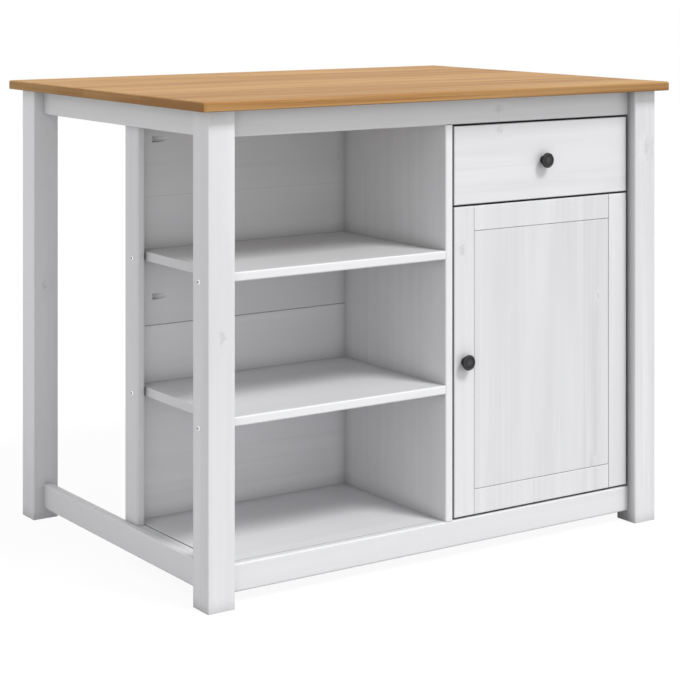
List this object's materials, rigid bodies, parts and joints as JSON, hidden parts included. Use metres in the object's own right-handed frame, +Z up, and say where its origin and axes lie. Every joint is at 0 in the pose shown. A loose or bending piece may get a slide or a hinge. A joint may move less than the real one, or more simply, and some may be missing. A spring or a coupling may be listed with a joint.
{
  "type": "kitchen island",
  "caption": "Painted wooden kitchen island with a wood worktop, open shelves and a cupboard under a drawer in front, and open knee room behind.",
  "frame": {"origin": "on the floor, under the middle of the worktop", "axes": "+Z up; the drawer and the door face -Y; +X along the worktop's long edge, to the right as seen from the front"},
  "size_m": [1.104, 0.808, 0.9],
  "materials": {
    "painted_wood": "white satin paint over pine, faint grain",
    "oiled_wood": "oiled honey-brown glued boards, grain along X",
    "plain_wood": "unpainted smooth",
    "dark_metal": "dark grey, satin",
    "steel": "zinc plated",
    "black_plastic": "moulded"
  },
  "bodies": {
    "island": {"worktop": "oiled_wood", "leg_front_left": "painted_wood", "leg_front_right": "painted_wood", "leg_back_left": "painted_wood", "leg_back_right": "painted_wood", "apron_front": "painted_wood", "apron_back": "painted_wood", "apron_left": "painted_wood", "apron_right": "painted_wood", "rail_front": "painted_wood", "rail_left": "painted_wood", "rail_right": "painted_wood", "mid_post": "painted_wood", "side_cleat": "painted_wood", "floor_cleat_front": "painted_wood", "floor_cleat_back": "painted_wood", "floor_panel": "painted_wood", "shelf_upper": "painted_wood", "shelf_lower": "painted_wood", "partition": "painted_wood", "side_panel": "painted_wood", "back_board_upper": "painted_wood", "back_board_lower": "painted_wood", "cross_rail": "painted_wood", "cupboard_shelf": "painted_wood", "shelf_pins": "steel", "runner_left": "plain_wood", "runner_right": "plain_wood", "hinge_arm_upper": "steel", "hinge_arm_lower": "steel", "hinge_plate_upper": "steel", "hinge_plate_lower": "steel", "catch_housing": "black_plastic", "frame_dowels": "plain_wood", "shelf_screws": "steel", "pocket_screws": "steel", "top_brackets": "steel", "wood_screws": "steel"},
    "drawer": {"drawer_front": "painted_wood", "drawer_side_left": "plain_wood", "drawer_side_right": "plain_wood", "drawer_back": "plain_wood", "drawer_bottom": "plain_wood", "drawer_dowels": "plain_wood", "drawer_knob": "dark_metal", "drawer_knob_screw": "steel"},
    "door": {"door_stile_left": "painted_wood", "door_stile_right": "painted_wood", "door_rail_top": "painted_wood", "door_rail_bottom": "painted_wood", "door_panel": "painted_wood", "door_dowels": "plain_wood", "door_knob": "dark_metal", "door_knob_screw": "steel", "hinge_cup_upper": "steel", "hinge_cup_lower": "steel", "hinge_pins": "steel", "catch_strike": "steel", "door_screws": "steel"}
  },
  "joints": [
    {"name": "drawer_slide", "type": "slide", "parent": "island", "child": "drawer", "axis": [0, -1, 0], "range_m": [0, 0.24]},
    {"name": "door_hinge", "type": "hinge", "parent": "island", "child": "door", "pos_m": [0.4495, -0.347, 0.3745], "axis": [0, 0, 1], "range_deg": [0, 95]}
  ]
}
